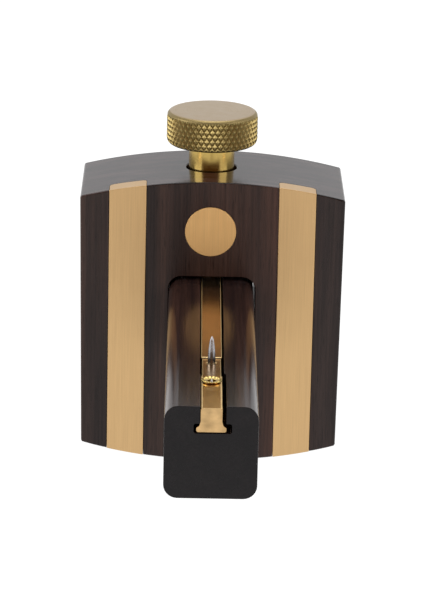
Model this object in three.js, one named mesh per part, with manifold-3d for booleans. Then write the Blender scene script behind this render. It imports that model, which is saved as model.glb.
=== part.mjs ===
// A cabinetmaker's mortise gauge: an ebony fence that slides on an ebony stem, is locked by a brass
// thumbscrew, and faces the work with two brass wear strips. The stem carries a fixed front pin and a
// second pin on a brass slide, which a screw at the stem's rear end moves along a T-slot.
//
// Sizes are millimetres and +Z is up. The stem lies along Y with its pins at the -Y end. The pieces are
// laid out about the stem: y = 0 is the fence's working face and z = 0 is the middle of the stem. The
// finished gauge is then moved so that it stands on z = 0 with its thumbscrew over the origin.

import * as THREE from 'three';
import { mergeVertices } from 'three/addons/utils/BufferGeometryUtils.js';
import Module from 'manifold-3d';

const wasm = await Module();
wasm.setup();

// ---------------------------------------------------------------- driving dimensions

// clearance left between two pieces that are fitted to each other
const FIT_GAP = 0.3;
const INLAY_GAP = 0.15;

// fence
const FENCE_THICKNESS = 31.75;
const FENCE_TOP_HALF_WIDTH = 33.0;
const FENCE_BOTTOM_HALF_WIDTH = 32.3;
const FENCE_TOP_CORNER = 32.35;
const FENCE_TOP_CROWN = 36.4;
const FENCE_BOTTOM_CORNER = -32.45;
const FENCE_BOTTOM_CROWN = -36.85;
const MORTISE_SIDE_GAP = 0.4;
const MORTISE_TOP_GAP = 1.0;
const MORTISE_BOTTOM_GAP = 0.3;

// brass wear strips, let into the working face
const STRIP_INNER = 16.5;
const STRIP_OUTER = 25.75;
const STRIP_DEPTH = 5.25;
const STRIP_BACK_RADIUS = 1.2;

// clamping screw and the barrel nut that it is threaded through
const CLAMP_X = -0.4;
const CLAMP_Y = FENCE_THICKNESS / 2;
const CLAMP_HOLE_RADIUS = 6.35;
const NUT_RADIUS = 6.35;
const NUT_LENGTH = 24;
const NUT_HEIGHT = 23.65;
const STUD_RADIUS = 3;
const STUD_TIP_RADIUS = 1.7;
const KNOB_RADIUS = 11.45;
const KNOB_BOTTOM = 42.5;
const KNOB_TOP = 50.9;
const COLLAR_RADIUS = 5.75;
const COLLAR_BOTTOM = 30.6;
const PAD_RADIUS = 6;
const PAD_THICKNESS = 3.2;

// stem
const STEM_WIDTH = 21.2;
const STEM_HEIGHT = 22.0;
const STEM_EDGE_RADIUS = 3.2;
const STEM_FRONT = -95.25;
const STEM_REAR = 114.3;

// T-slot along the top of the stem, a little wider over its front stretch
const SLOT_FLOOR = 4.6;
const SLOT_LEDGE = 6.85;
const SLOT_NECK_LEFT = -2.8;
const SLOT_NECK_RIGHT = 3.05;
const SLOT_FOOT_LEFT = -4.2;
const SLOT_FOOT_RIGHT = 4.4;
const SLOT_FRONT_SHIFT = 0.45;

// brass T-section shared by the slide bar and the front block
const BRASS_TOP = 10.55;
const BRASS_BOTTOM = 4.85;
const BRASS_NECK_HALF_WIDTH = 2.44;
const BRASS_FOOT_HALF_WIDTH = 3.42;
const BRASS_EDGE_CHAMFER = 0.22;
const BLOCK_REAR = -72.35;
const TONGUE_FRONT = -72.05;
const TONGUE_REAR = -59.4;
const TONGUE_DROP = 0.4;
const TONGUE_NECK_HALF_WIDTH = 2.22;
const SLIDE_REAR = 86;

// marking pins
const SLIDE_PIN_Y = -62.1;
const SLIDE_PIN_RADIUS = 1.0;
const SLIDE_PIN_TIP = 16.7;
const FRONT_PIN_Y = -76.6;
const FRONT_PIN_RADIUS = 0.68;
const FRONT_PIN_BOTTOM = -2;
const FRONT_PIN_TIP = 11.6;
const BUSH_BARREL_RADIUS = 1.55;
const BUSH_RIM_RADIUS = 2.45;
const BUSH_RIM_TOP = 11.25;

// adjusting screw at the rear of the stem
const ADJUSTER_RADIUS = 1.6;
const ADJUSTER_FRONT = 72.5;
const ADJUSTER_REAR = 123;
const ADJUSTER_KNOB_RADIUS = 6.35;
const GAUGE_REAR = FENCE_THICKNESS - STEM_FRONT;
const PLATE_THICKNESS = 2.4;
const PLATE_FRONT = STEM_REAR + 0.2;
const PLATE_SCREW_X = 7;
const SLIDE_NUT_LENGTH = 12;
const SLIDE_NUT_HALF_WIDTH = 2.4;
const SLIDE_NUT_BOTTOM = -3.4;
const SLIDE_NUT_SCREW_RADIUS = 0.9;
const NUT_SLOT_FRONT = 71;
const NUT_SLOT_HALF_WIDTH = 2.8;
const NUT_SLOT_FLOOR = -3.9;

// facets round a large, a middling and a small turned piece
const LARGE = 72;
const MEDIUM = 48;
const SMALL = 32;

// ---------------------------------------------------------------- materials

const EBONY = { color: 0x2a1f1c, roughness: 0.38, metalness: 0 };
const SATIN_BRASS = { color: 0xb9a383, roughness: 0.42, metalness: 1 };
const TURNED_BRASS = { color: 0xb39a55, roughness: 0.3, metalness: 1 };
const POLISHED_BRASS = { color: 0xb58a4a, roughness: 0.18, metalness: 1 };
const STEEL = { color: 0xb8b9bb, roughness: 0.22, metalness: 1 };

// ---------------------------------------------------------------- solids

// Shared vertices merged, collapsed triangles dropped and every face turned outward.
function weld(geometry) {
  const bare = geometry.clone();
  bare.deleteAttribute('normal');
  bare.deleteAttribute('uv');
  const merged = mergeVertices(bare, 1e-4);
  const corner = merged.attributes.position;
  const index = merged.index.array;
  const faces = [];
  let volume = 0;
  const [a, b, c] = [new THREE.Vector3(), new THREE.Vector3(), new THREE.Vector3()];
  for (let i = 0; i < index.length; i += 3) {
    const [p, q, r] = [index[i], index[i + 1], index[i + 2]];
    if (p === q || q === r || r === p) continue;
    faces.push([p, q, r]);
    a.fromBufferAttribute(corner, p);
    b.fromBufferAttribute(corner, q);
    c.fromBufferAttribute(corner, r);
    volume += a.dot(b.cross(c)) / 6;
  }
  if (volume < 0) faces.forEach((face) => face.reverse());
  merged.setIndex(faces.flat());
  return merged;
}

function toManifold(geometry) {
  const welded = weld(geometry);
  return new wasm.Manifold(new wasm.Mesh({
    numProp: 3,
    vertProperties: new Float32Array(welded.attributes.position.array),
    triVerts: new Uint32Array(welded.index.array),
  }));
}

function toGeometry(manifold) {
  const mesh = manifold.getMesh();
  const geometry = new THREE.BufferGeometry();
  geometry.setAttribute('position', new THREE.BufferAttribute(mesh.vertProperties, 3));
  geometry.setIndex(new THREE.BufferAttribute(mesh.triVerts, 1));
  return geometry;
}

function cut(geometry, ...tools) {
  return toGeometry(tools.reduce((solid, tool) => solid.subtract(toManifold(tool)), toManifold(geometry)));
}

function join(geometry, ...others) {
  return toGeometry(others.reduce((solid, other) => solid.add(toManifold(other)), toManifold(geometry)));
}

function common(geometry, other) {
  return toGeometry(toManifold(geometry).intersect(toManifold(other)));
}

function box(x0, x1, y0, y1, z0, z1) {
  const geometry = new THREE.BoxGeometry(x1 - x0, y1 - y0, z1 - z0);
  return geometry.translate((x0 + x1) / 2, (y0 + y1) / 2, (z0 + z1) / 2);
}

// An outline drawn in X and Z, carried along Y from front to rear.
function prismY(outline, front, rear) {
  const options = { depth: rear - front, bevelEnabled: false, curveSegments: 8 };
  return new THREE.ExtrudeGeometry(outline, options).rotateX(Math.PI / 2).translate(0, rear, 0);
}

// An outline drawn in X and Y, carried along Z from bottom to top.
function prismZ(outline, bottom, top) {
  const options = { depth: top - bottom, bevelEnabled: false, curveSegments: 8 };
  return new THREE.ExtrudeGeometry(outline, options).translate(0, 0, bottom);
}

// A profile of [radius, height] points turned about an upright axis at x, y.
function turnedZ(profile, x, y, facets) {
  const points = profile.map(([radius, height]) => new THREE.Vector2(radius, height));
  return new THREE.LatheGeometry(points, facets).rotateX(Math.PI / 2).translate(x, y, 0);
}

// A profile of [radius, y] points turned about an axis along Y at x, z.
function turnedY(profile, x, z, facets) {
  const points = profile.map(([radius, y]) => new THREE.Vector2(radius, y));
  return new THREE.LatheGeometry(points, facets).translate(x, 0, z);
}

const rodProfile = (radius, low, high) => [[0, low], [radius, low], [radius, high], [0, high]];

const tubeProfile = (inner, outer, low, high) => (
  [[inner, low], [outer, low], [outer, high], [inner, high], [inner, low]]
);

function roundedRectangle(halfWidth, bottom, top, radius) {
  const shape = new THREE.Shape();
  const quarter = Math.PI / 2;
  shape.absarc(halfWidth - radius, bottom + radius, radius, -quarter, 0);
  shape.absarc(halfWidth - radius, top - radius, radius, 0, quarter);
  shape.absarc(radius - halfWidth, top - radius, radius, quarter, 2 * quarter);
  shape.absarc(radius - halfWidth, bottom + radius, radius, 2 * quarter, 3 * quarter);
  shape.closePath();
  return shape;
}

// ---------------------------------------------------------------- fence

// Points of the shallow arc through two level corners and a crown between them.
function crownPoints(halfWidth, corner, crown, steps) {
  const rise = crown - corner;
  const radius = (halfWidth ** 2 + rise ** 2) / (2 * rise);
  const sweep = Math.asin(halfWidth / Math.abs(radius));
  return Array.from({ length: steps + 1 }, (_, i) => {
    const angle = sweep * (2 * i / steps - 1);
    const x = Math.abs(radius) * Math.sin(angle);
    return new THREE.Vector2(x, crown - radius * (1 - Math.cos(angle)));
  });
}

// An odd number of facets leaves a level one in the middle for the gauge to stand on.
const CROWN_FACETS = 25;

function fenceOutline() {
  const bottom = crownPoints(FENCE_BOTTOM_HALF_WIDTH, FENCE_BOTTOM_CORNER, FENCE_BOTTOM_CROWN, CROWN_FACETS);
  const top = crownPoints(FENCE_TOP_HALF_WIDTH, FENCE_TOP_CORNER, FENCE_TOP_CROWN, CROWN_FACETS);
  return new THREE.Shape([...bottom, ...top.reverse()]);
}

// A bar that fills a wear strip's place in the fence, on the side -1 or +1. Its plan is square at the
// working face and rounded at the back, and the margin makes it a cutter for the recess.
function stripBar(side, margin) {
  const inner = STRIP_INNER - margin;
  const outer = STRIP_OUTER + margin;
  const back = STRIP_DEPTH + margin;
  const corner = STRIP_BACK_RADIUS;
  const plan = new THREE.Shape();
  plan.moveTo(inner, -margin);
  plan.lineTo(outer, -margin);
  plan.absarc(outer - corner, back - corner, corner, 0, Math.PI / 2);
  plan.absarc(inner + corner, back - corner, corner, Math.PI / 2, Math.PI);
  plan.closePath();
  return prismZ(plan, FENCE_BOTTOM_CROWN - 1, FENCE_TOP_CROWN + 1).scale(side, 1, 1);
}

const makeWearStrip = (side) => common(prismY(fenceOutline(), 0, FENCE_THICKNESS), stripBar(side, 0));

function makeFenceBody() {
  const mortise = roundedRectangle(
    STEM_WIDTH / 2 + MORTISE_SIDE_GAP,
    -STEM_HEIGHT / 2 - MORTISE_BOTTOM_GAP,
    STEM_HEIGHT / 2 + MORTISE_TOP_GAP,
    STEM_EDGE_RADIUS,
  );
  const nutBore = rodProfile(NUT_RADIUS + FIT_GAP, -1, NUT_LENGTH + FIT_GAP);
  const screwHole = rodProfile(CLAMP_HOLE_RADIUS, 0, FENCE_TOP_CROWN + 1);
  return cut(
    prismY(fenceOutline(), 0, FENCE_THICKNESS),
    prismY(mortise, -1, FENCE_THICKNESS + 1),
    stripBar(-1, INLAY_GAP),
    stripBar(1, INLAY_GAP),
    turnedY(nutBore, CLAMP_X, NUT_HEIGHT, MEDIUM),
    turnedZ(screwHole, CLAMP_X, CLAMP_Y, MEDIUM),
  );
}

// ---------------------------------------------------------------- clamp

function makeBarrelNut() {
  const barrel = turnedY(rodProfile(NUT_RADIUS, 0, NUT_LENGTH), CLAMP_X, NUT_HEIGHT, MEDIUM);
  const thread = rodProfile(STUD_RADIUS + FIT_GAP, NUT_HEIGHT - 2 * NUT_RADIUS, NUT_HEIGHT + 2 * NUT_RADIUS);
  return cut(barrel, turnedZ(thread, CLAMP_X, CLAMP_Y, SMALL));
}

// The knurled band lies between a large rounding below and a small one above.
function makeThumbscrewKnob() {
  const lowerEdge = 1.6;
  const upperEdge = 1.0;
  const steps = 4;
  const round = (size, height, from) => Array.from({ length: steps + 1 }, (_, i) => {
    const angle = from + (Math.PI / 2) * (i / steps);
    return [KNOB_RADIUS - size + size * Math.cos(angle), height + size * Math.sin(angle)];
  });
  const profile = [
    [0, KNOB_BOTTOM],
    ...round(lowerEdge, KNOB_BOTTOM + lowerEdge, -Math.PI / 2),
    ...round(upperEdge, KNOB_TOP - upperEdge, 0),
    [0, KNOB_TOP],
  ];
  const socket = rodProfile(STUD_RADIUS + FIT_GAP, KNOB_BOTTOM - 1, KNOB_TOP - 2);
  return cut(turnedZ(profile, CLAMP_X, CLAMP_Y, LARGE), turnedZ(socket, CLAMP_X, CLAMP_Y, SMALL));
}

function makeThumbscrewCollar() {
  const tube = tubeProfile(STUD_RADIUS + FIT_GAP, COLLAR_RADIUS, COLLAR_BOTTOM, KNOB_BOTTOM - FIT_GAP);
  return turnedZ(tube, CLAMP_X, CLAMP_Y, MEDIUM);
}

const PAD_BOTTOM = STEM_HEIGHT / 2 + FIT_GAP;
const PAD_TOP = PAD_BOTTOM + PAD_THICKNESS;
const PAD_SOCKET_DEPTH = 1.5;

function makeThumbscrewStud() {
  const tipBottom = PAD_TOP - PAD_SOCKET_DEPTH + FIT_GAP;
  const shoulder = PAD_TOP + FIT_GAP;
  const profile = [
    [0, tipBottom],
    [STUD_TIP_RADIUS, tipBottom],
    [STUD_TIP_RADIUS, shoulder],
    [STUD_RADIUS, shoulder],
    [STUD_RADIUS, KNOB_TOP - 2 - FIT_GAP],
    [0, KNOB_TOP - 2 - FIT_GAP],
  ];
  return turnedZ(profile, CLAMP_X, CLAMP_Y, SMALL);
}

function makePressurePad() {
  const socketRadius = STUD_TIP_RADIUS + FIT_GAP;
  const floor = PAD_TOP - PAD_SOCKET_DEPTH;
  const profile = [
    [0, PAD_BOTTOM],
    [PAD_RADIUS, PAD_BOTTOM],
    [PAD_RADIUS, PAD_TOP],
    [socketRadius, PAD_TOP],
    [socketRadius, floor],
    [0, floor],
  ];
  return turnedZ(profile, CLAMP_X, CLAMP_Y, MEDIUM);
}

// ---------------------------------------------------------------- stem

const SLIDE_NUT_MIDDLE = SLIDE_REAR - SLIDE_NUT_LENGTH / 2;
const PLATE_REAR = PLATE_FRONT + PLATE_THICKNESS;
const PLATE_SCREW_LENGTH = 10;
const PLATE_SCREW_RADIUS = 1.2;
const PLATE_SCREW_HEAD_RADIUS = 2.4;

function slotTools(shift, front, rear) {
  const above = STEM_HEIGHT / 2 + 1;
  return [
    box(SLOT_NECK_LEFT + shift / 4, SLOT_NECK_RIGHT + shift, front, rear, SLOT_FLOOR, above),
    box(SLOT_FOOT_LEFT + shift / 2, SLOT_FOOT_RIGHT + shift / 2, front, rear, SLOT_FLOOR, SLOT_LEDGE),
  ];
}

function makeStem() {
  const outline = roundedRectangle(STEM_WIDTH / 2, -STEM_HEIGHT / 2, STEM_HEIGHT / 2, STEM_EDGE_RADIUS);
  const pinHole = rodProfile(FRONT_PIN_RADIUS + FIT_GAP, FRONT_PIN_BOTTOM - 1, SLOT_FLOOR + 1);
  const screwHole = rodProfile(PLATE_SCREW_RADIUS + FIT_GAP, PLATE_REAR - PLATE_SCREW_LENGTH - 1, STEM_REAR + 1);
  return cut(
    prismY(outline, STEM_FRONT, STEM_REAR),
    ...slotTools(0, BLOCK_REAR - 1, STEM_REAR + 1),
    ...slotTools(SLOT_FRONT_SHIFT, STEM_FRONT - 1, BLOCK_REAR),
    box(-NUT_SLOT_HALF_WIDTH, NUT_SLOT_HALF_WIDTH, NUT_SLOT_FRONT, STEM_REAR + 1, NUT_SLOT_FLOOR, SLOT_LEDGE),
    turnedZ(pinHole, 0, FRONT_PIN_Y, SMALL),
    turnedY(screwHole, -PLATE_SCREW_X, 0, SMALL),
    turnedY(screwHole, PLATE_SCREW_X, 0, SMALL),
  );
}

// Section of the slide: a chamfered neck that flares into a rounded foot.
function brassSection(neckHalfWidth, top) {
  const neck = neckHalfWidth;
  const foot = BRASS_FOOT_HALF_WIDTH;
  const bottom = BRASS_BOTTOM;
  const chamfer = BRASS_EDGE_CHAMFER;
  const flareTop = bottom + 2.1;
  const footTop = bottom + 1.15;
  const shape = new THREE.Shape();
  shape.moveTo(foot - 0.55, bottom);
  shape.quadraticCurveTo(foot, bottom + 0.1, foot, bottom + 0.6);
  shape.quadraticCurveTo(foot - 0.05, footTop - 0.05, foot - 0.4, footTop);
  shape.quadraticCurveTo(neck, footTop + 0.15, neck, flareTop);
  shape.lineTo(neck, top - chamfer);
  shape.lineTo(neck - chamfer, top);
  shape.lineTo(chamfer - neck, top);
  shape.lineTo(-neck, top - chamfer);
  shape.lineTo(-neck, flareTop);
  shape.quadraticCurveTo(-neck, footTop + 0.15, 0.4 - foot, footTop);
  shape.quadraticCurveTo(0.05 - foot, footTop - 0.05, -foot, bottom + 0.6);
  shape.quadraticCurveTo(-foot, bottom + 0.1, 0.55 - foot, bottom);
  shape.closePath();
  return shape;
}

function makeFrontBlock() {
  const block = prismY(brassSection(BRASS_NECK_HALF_WIDTH, BRASS_TOP), STEM_FRONT, BLOCK_REAR);
  const bushHole = rodProfile(BUSH_BARREL_RADIUS + FIT_GAP, BRASS_BOTTOM - 1, BRASS_TOP + 1);
  return cut(block, turnedZ(bushHole, 0, FRONT_PIN_Y, SMALL));
}

// The bush's flange is dished, so that the retracted pin stands in a shallow cup.
function makeFrontPinBush() {
  const bore = FRONT_PIN_RADIUS + FIT_GAP;
  const underFlange = BRASS_TOP + 0.1;
  const profile = [
    [bore, BRASS_BOTTOM + 0.35],
    [BUSH_BARREL_RADIUS, BRASS_BOTTOM + 0.35],
    [BUSH_BARREL_RADIUS, underFlange],
    [BUSH_RIM_RADIUS - 0.15, underFlange],
    [BUSH_RIM_RADIUS, BUSH_RIM_TOP - 0.1],
    [BUSH_RIM_RADIUS - 0.2, BUSH_RIM_TOP],
    [bore, underFlange + 0.25],
    [bore, BRASS_BOTTOM + 0.35],
  ];
  return turnedZ(profile, 0, FRONT_PIN_Y, SMALL);
}

function makeFrontPin() {
  const shoulder = FRONT_PIN_TIP - 1.3;
  const profile = [
    [0, FRONT_PIN_BOTTOM],
    [FRONT_PIN_RADIUS, FRONT_PIN_BOTTOM],
    [FRONT_PIN_RADIUS, shoulder],
    [0, FRONT_PIN_TIP],
  ];
  return turnedZ(profile, 0, FRONT_PIN_Y, SMALL);
}

// ---------------------------------------------------------------- slide

const TONGUE_TOP = BRASS_TOP - TONGUE_DROP;
const SLIDE_PIN_SHANK_RADIUS = 0.75;
const SLIDE_PIN_HOLE_FLOOR = BRASS_BOTTOM + 1;
const SLIDE_NUT_TOP = BRASS_BOTTOM - FIT_GAP / 2;
const SLIDE_SCREW_HEAD_RADIUS = 1.8;
const SLIDE_SCREW_HEAD_DEPTH = 0.9;

function makeSlideBar() {
  const bar = prismY(brassSection(BRASS_NECK_HALF_WIDTH, BRASS_TOP), TONGUE_REAR, SLIDE_REAR);
  const tongue = prismY(brassSection(TONGUE_NECK_HALF_WIDTH, TONGUE_TOP), TONGUE_FRONT, TONGUE_REAR + 1);
  const pinHole = rodProfile(SLIDE_PIN_SHANK_RADIUS + FIT_GAP / 2, SLIDE_PIN_HOLE_FLOOR, BRASS_TOP + 1);
  const screwHole = [
    [0, BRASS_BOTTOM - 1],
    [SLIDE_NUT_SCREW_RADIUS + FIT_GAP / 2, BRASS_BOTTOM - 1],
    [SLIDE_NUT_SCREW_RADIUS + FIT_GAP / 2, BRASS_TOP - SLIDE_SCREW_HEAD_DEPTH - FIT_GAP / 2],
    [SLIDE_SCREW_HEAD_RADIUS + FIT_GAP / 2, BRASS_TOP],
    [SLIDE_SCREW_HEAD_RADIUS + FIT_GAP / 2, BRASS_TOP + 1],
    [0, BRASS_TOP + 1],
  ];
  return cut(
    join(bar, tongue),
    turnedZ(pinHole, 0, SLIDE_PIN_Y, SMALL),
    turnedZ(screwHole, 0, SLIDE_NUT_MIDDLE, SMALL),
  );
}

function makeSlidePin() {
  const profile = [
    [0, SLIDE_PIN_HOLE_FLOOR + FIT_GAP / 2],
    [SLIDE_PIN_SHANK_RADIUS, SLIDE_PIN_HOLE_FLOOR + FIT_GAP / 2],
    [SLIDE_PIN_SHANK_RADIUS, TONGUE_TOP + 0.05],
    [SLIDE_PIN_RADIUS, TONGUE_TOP + 0.05],
    [SLIDE_PIN_RADIUS * 0.45, SLIDE_PIN_TIP - 0.9],
    [0, SLIDE_PIN_TIP],
  ];
  return turnedZ(profile, 0, SLIDE_PIN_Y, SMALL);
}

function makeSlideNut() {
  const half = SLIDE_NUT_HALF_WIDTH;
  const lug = box(-half, half, SLIDE_REAR - SLIDE_NUT_LENGTH, SLIDE_REAR, SLIDE_NUT_BOTTOM, SLIDE_NUT_TOP);
  const thread = rodProfile(ADJUSTER_RADIUS + FIT_GAP, SLIDE_REAR - SLIDE_NUT_LENGTH - 1, SLIDE_REAR + 1);
  const screwHole = rodProfile(SLIDE_NUT_SCREW_RADIUS + FIT_GAP / 2, ADJUSTER_RADIUS + 0.7, SLIDE_NUT_TOP + 1);
  return cut(lug, turnedY(thread, 0, 0, SMALL), turnedZ(screwHole, 0, SLIDE_NUT_MIDDLE, SMALL));
}

function makeSlideNutScrew() {
  const top = BRASS_TOP - 0.1;
  const profile = [
    [0, ADJUSTER_RADIUS + 1],
    [SLIDE_NUT_SCREW_RADIUS, ADJUSTER_RADIUS + 1],
    [SLIDE_NUT_SCREW_RADIUS, top - SLIDE_SCREW_HEAD_DEPTH],
    [SLIDE_SCREW_HEAD_RADIUS, top],
    [0, top],
  ];
  const driverSlot = box(-2, 2, SLIDE_NUT_MIDDLE - 0.2, SLIDE_NUT_MIDDLE + 0.2, top - 0.4, top + 1);
  return cut(turnedZ(profile, 0, SLIDE_NUT_MIDDLE, SMALL), driverSlot);
}

// ---------------------------------------------------------------- rear end and adjuster

function screwHeadHole(margin) {
  const depth = PLATE_SCREW_HEAD_RADIUS - PLATE_SCREW_RADIUS;
  return [
    [0, PLATE_REAR - PLATE_SCREW_LENGTH],
    [PLATE_SCREW_RADIUS + margin, PLATE_REAR - PLATE_SCREW_LENGTH],
    [PLATE_SCREW_RADIUS + margin, PLATE_REAR - depth - margin],
    [PLATE_SCREW_HEAD_RADIUS + margin, PLATE_REAR - margin / 2],
    [PLATE_SCREW_HEAD_RADIUS + margin, PLATE_REAR + margin],
    [0, PLATE_REAR + margin],
  ];
}

function makeEndPlate() {
  const outline = roundedRectangle(STEM_WIDTH / 2, -STEM_HEIGHT / 2, STEM_HEIGHT / 2, STEM_EDGE_RADIUS);
  const screwHole = rodProfile(ADJUSTER_RADIUS + FIT_GAP, PLATE_FRONT - 1, PLATE_REAR + 1);
  return cut(
    prismY(outline, PLATE_FRONT, PLATE_REAR),
    turnedY(screwHole, 0, 0, SMALL),
    turnedY(screwHeadHole(FIT_GAP), -PLATE_SCREW_X, 0, SMALL),
    turnedY(screwHeadHole(FIT_GAP), PLATE_SCREW_X, 0, SMALL),
  );
}

function makeEndPlateScrew(side) {
  const depth = PLATE_SCREW_HEAD_RADIUS - PLATE_SCREW_RADIUS;
  const tip = PLATE_REAR - PLATE_SCREW_LENGTH;
  const profile = [
    [0, tip],
    [PLATE_SCREW_RADIUS, tip + 2],
    [PLATE_SCREW_RADIUS, PLATE_REAR - depth],
    [PLATE_SCREW_HEAD_RADIUS, PLATE_REAR],
    [0, PLATE_REAR],
  ];
  const x = side * PLATE_SCREW_X;
  const driverSlot = box(x - 3, x + 3, PLATE_REAR - 0.6, PLATE_REAR + 1, -0.3, 0.3);
  return cut(turnedY(profile, x, 0, SMALL), driverSlot);
}

function makeAdjustingScrew() {
  return turnedY(rodProfile(ADJUSTER_RADIUS, ADJUSTER_FRONT, ADJUSTER_REAR), 0, 0, SMALL);
}

function makeThrustCollar() {
  const collar = tubeProfile(ADJUSTER_RADIUS + FIT_GAP / 2, SLIDE_NUT_HALF_WIDTH, STEM_REAR - 3, STEM_REAR - 0.3);
  return turnedY(collar, 0, 0, SMALL);
}

function makeAdjustingKnob() {
  const front = PLATE_REAR + FIT_GAP;
  const hubRadius = 4;
  const bandFront = front + 1.4;
  const edge = 0.8;
  const profile = [
    [0, front],
    [hubRadius, front],
    [hubRadius, bandFront],
    [ADJUSTER_KNOB_RADIUS - edge, bandFront],
    [ADJUSTER_KNOB_RADIUS, bandFront + edge],
    [ADJUSTER_KNOB_RADIUS, GAUGE_REAR - 1 - edge],
    [ADJUSTER_KNOB_RADIUS - edge, GAUGE_REAR - 1],
    [ADJUSTER_KNOB_RADIUS / 2, GAUGE_REAR - 0.3],
    [0, GAUGE_REAR],
  ];
  const socket = rodProfile(ADJUSTER_RADIUS + FIT_GAP, front - 1, ADJUSTER_REAR + FIT_GAP);
  return cut(turnedY(profile, 0, 0, MEDIUM), turnedY(socket, 0, 0, SMALL));
}

// ---------------------------------------------------------------- assembly

const gauge = new THREE.Group();
gauge.position.set(0, -CLAMP_Y, -FENCE_BOTTOM_CROWN);

function add(name, geometry, finish) {
  const mesh = new THREE.Mesh(weld(geometry), new THREE.MeshStandardMaterial(finish));
  mesh.geometry.computeVertexNormals();
  mesh.name = name;
  gauge.add(mesh);
}

add('fence_body', makeFenceBody(), EBONY);
add('wear_strip_left', makeWearStrip(-1), SATIN_BRASS);
add('wear_strip_right', makeWearStrip(1), SATIN_BRASS);
add('barrel_nut', makeBarrelNut(), SATIN_BRASS);
add('thumbscrew_knob', makeThumbscrewKnob(), TURNED_BRASS);
add('thumbscrew_collar', makeThumbscrewCollar(), TURNED_BRASS);
add('thumbscrew_stud', makeThumbscrewStud(), STEEL);
add('pressure_pad', makePressurePad(), TURNED_BRASS);

add('stem', makeStem(), EBONY);
add('front_block', makeFrontBlock(), POLISHED_BRASS);
add('front_pin_bush', makeFrontPinBush(), POLISHED_BRASS);
add('front_pin', makeFrontPin(), STEEL);
add('slide_bar', makeSlideBar(), POLISHED_BRASS);
add('slide_pin', makeSlidePin(), STEEL);
add('slide_nut', makeSlideNut(), POLISHED_BRASS);
add('slide_nut_screw', makeSlideNutScrew(), STEEL);

add('end_plate', makeEndPlate(), SATIN_BRASS);
add('end_plate_screw_left', makeEndPlateScrew(-1), TURNED_BRASS);
add('end_plate_screw_right', makeEndPlateScrew(1), TURNED_BRASS);
add('adjusting_screw', makeAdjustingScrew(), STEEL);
add('thrust_collar', makeThrustCollar(), TURNED_BRASS);
add('adjusting_knob', makeAdjustingKnob(), TURNED_BRASS);

const part = new THREE.Group();
part.add(gauge);

export default part;
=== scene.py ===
import math

import bmesh
import bpy
import numpy as np
from mathutils import Matrix, Vector


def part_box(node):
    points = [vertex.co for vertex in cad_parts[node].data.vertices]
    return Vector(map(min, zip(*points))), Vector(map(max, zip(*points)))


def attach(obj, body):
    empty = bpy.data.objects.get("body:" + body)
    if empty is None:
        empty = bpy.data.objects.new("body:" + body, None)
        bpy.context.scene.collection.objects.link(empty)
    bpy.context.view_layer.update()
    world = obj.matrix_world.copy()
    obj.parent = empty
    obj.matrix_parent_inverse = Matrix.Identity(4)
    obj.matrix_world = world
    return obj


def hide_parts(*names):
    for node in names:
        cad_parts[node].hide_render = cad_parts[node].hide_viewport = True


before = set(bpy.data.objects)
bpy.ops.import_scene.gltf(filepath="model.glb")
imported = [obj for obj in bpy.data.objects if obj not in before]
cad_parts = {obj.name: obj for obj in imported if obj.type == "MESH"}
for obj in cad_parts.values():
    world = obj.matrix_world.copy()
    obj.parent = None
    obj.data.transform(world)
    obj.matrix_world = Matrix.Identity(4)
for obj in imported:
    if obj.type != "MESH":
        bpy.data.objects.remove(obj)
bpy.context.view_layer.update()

# The pieces are laid out in millimetres about the stem: y = 0 is the fence's working face and z = 0 the
# middle of the stem. ORIGIN is that layout's place in the object's frame, whose origin is on the floor under
# the middle of the fence.
MM = 0.001
fence_low, fence_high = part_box("fence_body")
THICKNESS = round((fence_high.y - fence_low.y) / MM, 3)
FLOOR = -36.85
ORIGIN = np.array((0.0, -THICKNESS / 2, -FLOOR))


def limits(node, axis):
    """The lowest and highest place of a CAD node along an axis, in layout millimetres."""
    k = "XYZ".index(axis)
    return [corner[k] / MM - ORIGIN[k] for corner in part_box(node)]


def span(node, axis):
    """The same two places, rounded to a thousandth of a millimetre."""
    low, high = limits(node, axis)
    return round(low, 3), round(high, 3)


def middle(node, axis):
    low, high = limits(node, axis)
    return round((low + high) / 2, 3)


def half_span(node, axis):
    low, high = limits(node, axis)
    return round((high - low) / 2, 3)


# Points on the axes of the clamping screw, which is upright, and of the adjusting screw, which runs along Y.
CLAMP = (middle("thumbscrew_knob", "X"), THICKNESS / 2, 0)
ADJUSTER = (0, 0, 0)

# ---------------------------------------------------------------- outlines


def eased(corners, closed=False):
    """Points of a path through [a, b, radius] corners, each rounded by its radius."""
    points = []
    count = len(corners)
    for i, (a, b, radius) in enumerate(corners):
        if radius == 0 or (not closed and i in (0, count - 1)):
            points.append((a, b))
            continue
        here = Vector((a, b))
        before = (Vector(corners[i - 1][:2]) - here).normalized()
        after = (Vector(corners[(i + 1) % count][:2]) - here).normalized()
        half = before.angle(after) / 2
        centre = here + (before + after).normalized() * (radius / math.sin(half))
        first = here + before * (radius / math.tan(half)) - centre
        last = here + after * (radius / math.tan(half)) - centre
        sweep = math.copysign(math.pi - 2 * half, first.cross(last))
        steps = max(2, round(abs(sweep) / math.radians(12)))
        for k in range(steps + 1):
            turn = sweep * k / steps
            cos, sin = math.cos(turn), math.sin(turn)
            a_here = centre.x + cos * first.x - sin * first.y
            b_here = centre.y + sin * first.x + cos * first.y
            points.append((a_here, b_here))
    return points


def rounded_rectangle(half_width, bottom, top, radius):
    corners = [(half_width, bottom), (half_width, top), (-half_width, top), (-half_width, bottom)]
    return eased([(a, b, radius) for a, b in corners], closed=True)


def rectangle(a0, a1, b0, b1):
    return [(a0, b0), (a1, b0), (a1, b1), (a0, b1)]


def crown(x, half_width, corner, top):
    """Height at x of the shallow arc through two level corners and a crown between them."""
    rise = top - corner
    radius = (half_width**2 + rise**2) / (2 * rise)
    return top - radius * (1 - np.sqrt(1 - (np.asarray(x, float) / radius) ** 2))


# ---------------------------------------------------------------- solids


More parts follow.
